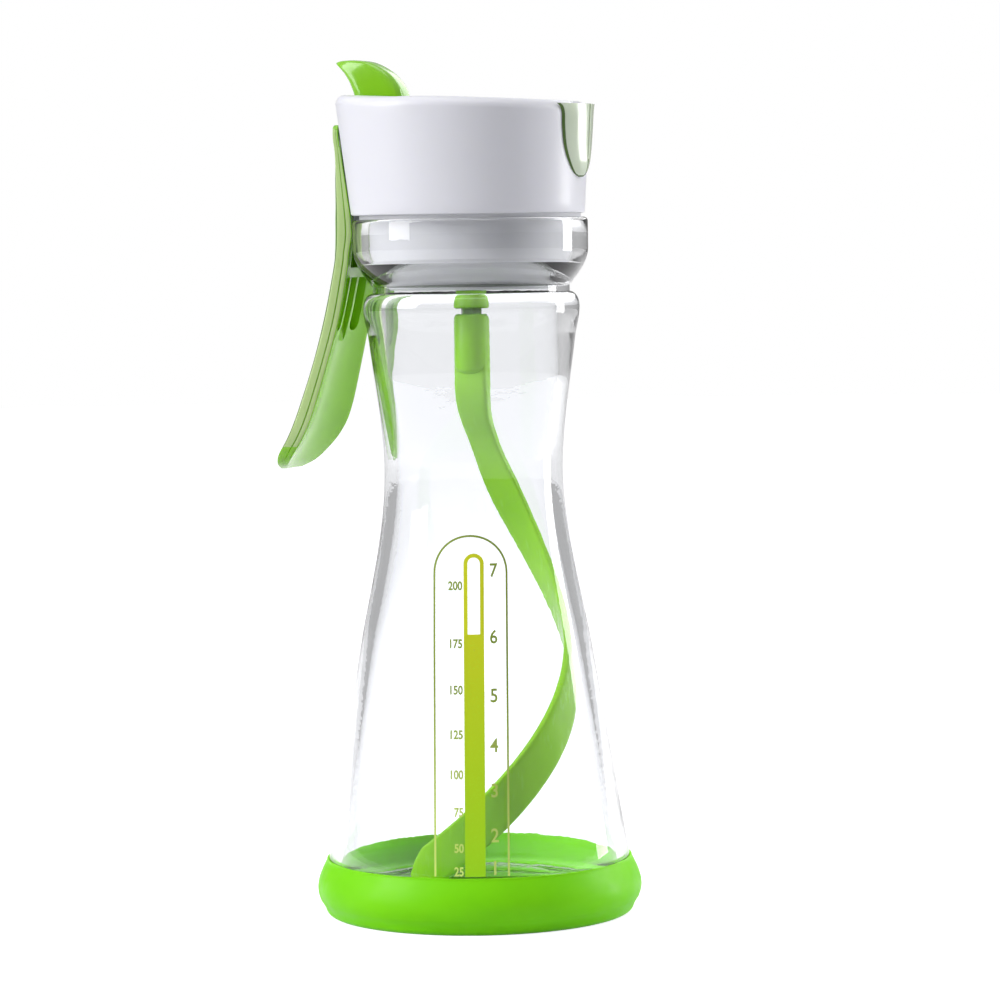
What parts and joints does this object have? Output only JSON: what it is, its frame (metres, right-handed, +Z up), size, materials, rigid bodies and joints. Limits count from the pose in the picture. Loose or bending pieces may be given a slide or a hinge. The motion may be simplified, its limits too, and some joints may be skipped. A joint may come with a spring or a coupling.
{
  "type": "dressing mixer bottle",
  "caption": "Waisted glass bottle in a silicone boot, with a geared lid whose finger trigger turns a helical blade, a thumb lever and a pouring lip.",
  "frame": {"origin": "centre of the flat standing face of the boot, on the bottle's axis", "axes": "+Z up along the bottle, +X towards the pouring lip, trigger on the -X side"},
  "size_m": [0.0904, 0.0806, 0.2116],
  "materials": {
    "clear_glass": "clear, polished",
    "green_silicone": "satin silicone",
    "green_plastic": "gloss moulded",
    "pale_green_plastic": "gloss moulded",
    "white_plastic": "gloss moulded",
    "inner_plastic": "natural moulded, self-lubricating",
    "seal_rubber": "soft matt",
    "steel": "drawn wire and rod"
  },
  "bodies": {
    "bottle": {"glass_bottle": "clear_glass", "base_boot": "green_silicone"},
    "blade": {"mixing_blade": "green_plastic"},
    "lid": {"cap_shell": "white_plastic", "plug_body": "white_plastic", "plug_seal": "seal_rubber", "gear_deck": "inner_plastic", "deck_screws": "steel", "spindle_bush": "inner_plastic", "shaft_seal": "seal_rubber", "idler_axle": "steel", "return_spring": "steel", "trigger_pin": "steel", "pour_pin": "steel", "spout_lip": "pale_green_plastic"},
    "spindle": {"drive_spindle": "green_plastic", "spindle_clip": "steel"},
    "rack": {"drive_rack": "inner_plastic"},
    "idler": {"idler_gear": "inner_plastic"},
    "trigger": {"trigger": "green_plastic", "link_pin": "steel"},
    "pour_lever": {"pour_lever": "green_plastic", "spout_stopper": "seal_rubber"}
  },
  "joints": [
    {"name": "lid_lift", "type": "slide", "parent": "bottle", "child": "lid", "axis": [0, 0, 1], "range_m": [0, 0.045]},
    {"name": "trigger_squeeze", "type": "hinge", "parent": "lid", "child": "trigger", "pos_m": [-0.0314, 0, 0.168], "axis": [0, -1, 0], "range_deg": [0, 12], "stiffness_Nm_per_rad": 0.12, "springref_deg": -11.46},
    {"name": "rack_slide", "type": "slide", "parent": "lid", "child": "rack", "axis": [-1, 0, 0], "range_m": [0, 0.0042]},
    {"name": "idler_turn", "type": "hinge", "parent": "lid", "child": "idler", "pos_m": [-0.01331, 0.0055, 0.1795], "axis": [0, 0, 1], "range_deg": [-68, 0]},
    {"name": "spindle_turn", "type": "hinge", "parent": "lid", "child": "spindle", "pos_m": [0, 0, 0.17], "axis": [0, 0, 1], "range_deg": [0, 200]},
    {"name": "blade_turn", "type": "hinge", "parent": "bottle", "child": "blade", "pos_m": [0, 0, 0.14], "axis": [0, 0, 1], "range_deg": [0, 200]},
    {"name": "pour_tilt", "type": "hinge", "parent": "lid", "child": "pour_lever", "pos_m": [-0.0135, 0, 0.19861], "axis": [0, -1, 0], "range_deg": [0, 8]}
  ],
  "couplings": [
    {"joint": "rack_slide", "follows": "trigger_squeeze", "m_per_rad": 0.0183},
    {"joint": "idler_turn", "follows": "trigger_squeeze", "ratio": -5.2286},
    {"joint": "spindle_turn", "follows": "trigger_squeeze", "ratio": 15.686},
    {"joint": "blade_turn", "follows": "trigger_squeeze", "ratio": 15.686}
  ]
}
